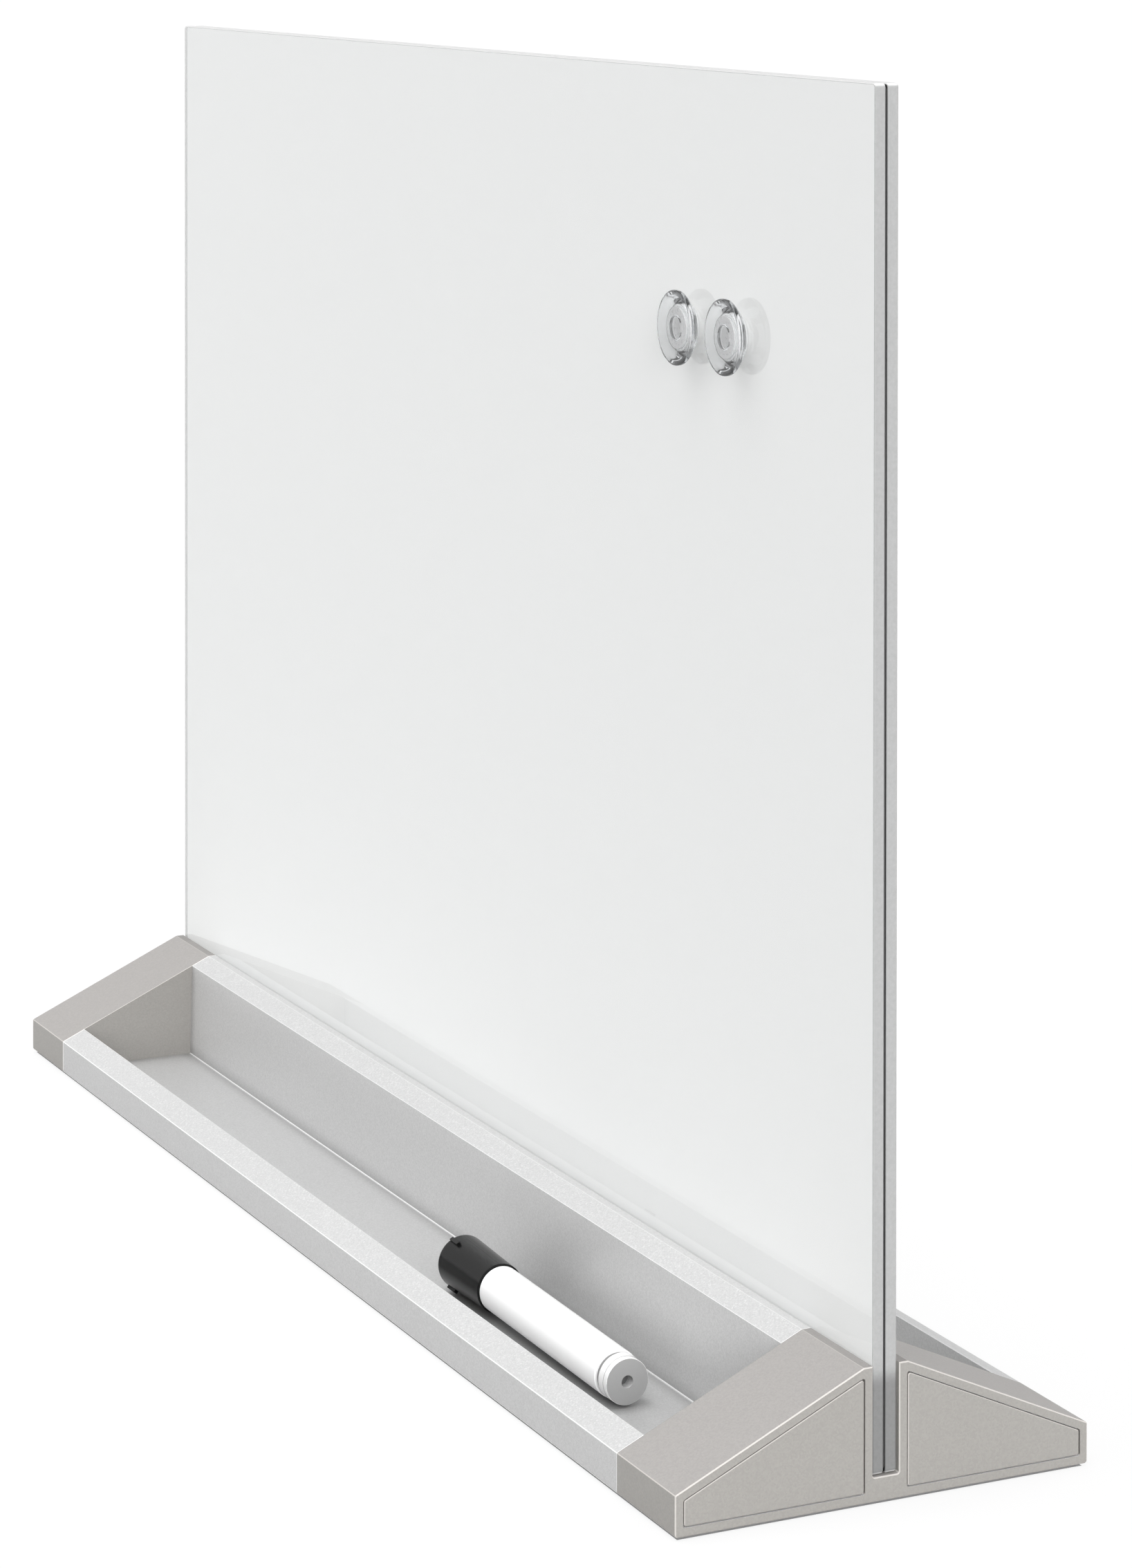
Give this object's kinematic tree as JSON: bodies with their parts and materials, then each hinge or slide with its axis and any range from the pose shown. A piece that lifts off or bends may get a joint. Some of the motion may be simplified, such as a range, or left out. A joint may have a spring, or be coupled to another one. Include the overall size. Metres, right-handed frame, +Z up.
{
  "type": "desktop glass whiteboard",
  "caption": "Double-sided glass whiteboard standing in a long aluminium base with a pen tray on each side, with clear knob magnets and a marker.",
  "frame": {"origin": "on the desk surface under the middle of the base, at the foot pads' lower faces", "axes": "+X along the board, to the right as seen from the front; +Y from the front side to the rear side, across the board; +Z up"},
  "size_m": [0.61, 0.147, 0.4412],
  "materials": {
    "aluminium_base": "fine sandblasted silver anodising",
    "cap_grey": "satin warm grey with a fine metallic grain",
    "clear_glass": "polished faces, ground edges",
    "white_film": "smooth white",
    "steel": "plain cold-rolled",
    "rubber_black": "matte",
    "screw_steel": "zinc plated",
    "clear_plastic": "polished clear",
    "magnet_nickel": "satin nickel plate",
    "marker_white": "smooth semi-gloss",
    "marker_plug": "smooth semi-gloss",
    "marker_black": "semi-gloss",
    "ink_fibre": "ink-soaked fibre"
  },
  "bodies": {
    "board": {"base_extrusion": "aluminium_base", "end_cap_left": "cap_grey", "end_cap_right": "cap_grey", "cap_cover_left_front": "cap_grey", "cap_cover_left_rear": "cap_grey", "cap_cover_right_front": "cap_grey", "cap_cover_right_rear": "cap_grey", "cap_screws_left": "screw_steel", "cap_screws_right": "screw_steel", "glass_front": "clear_glass", "glass_rear": "clear_glass", "backing_film_front": "white_film", "backing_film_rear": "white_film", "steel_sheet": "steel", "glazing_gasket": "rubber_black", "foot_pad_front_left": "rubber_black", "foot_pad_front_right": "rubber_black", "foot_pad_rear_left": "rubber_black", "foot_pad_rear_right": "rubber_black"},
    "marker": {"marker_barrel": "marker_white", "marker_end_plug": "marker_plug", "marker_reservoir": "ink_fibre", "marker_nib_holder": "marker_white", "marker_nib": "ink_fibre"},
    "marker_cap": {"marker_cap": "marker_black"},
    "magnet_left": {"magnet_knob_left": "clear_plastic", "magnet_disc_left": "magnet_nickel"},
    "magnet_right": {"magnet_knob_right": "clear_plastic", "magnet_disc_right": "magnet_nickel"}
  },
  "joints": [
    {"name": "marker_lift", "type": "slide", "parent": "board", "child": "marker", "axis": [0, 0, 1], "range_m": [0, 0.06]},
    {"name": "marker_cap_pull", "type": "slide", "parent": "marker", "child": "marker_cap", "axis": [-1, 0, 0.0098], "range_m": [0, 0.04]},
    {"name": "magnet_left_pull", "type": "slide", "parent": "board", "child": "magnet_left", "axis": [0, -1, 0], "range_m": [0, 0.03]},
    {"name": "magnet_right_pull", "type": "slide", "parent": "board", "child": "magnet_right", "axis": [0, -1, 0], "range_m": [0, 0.03]}
  ]
}
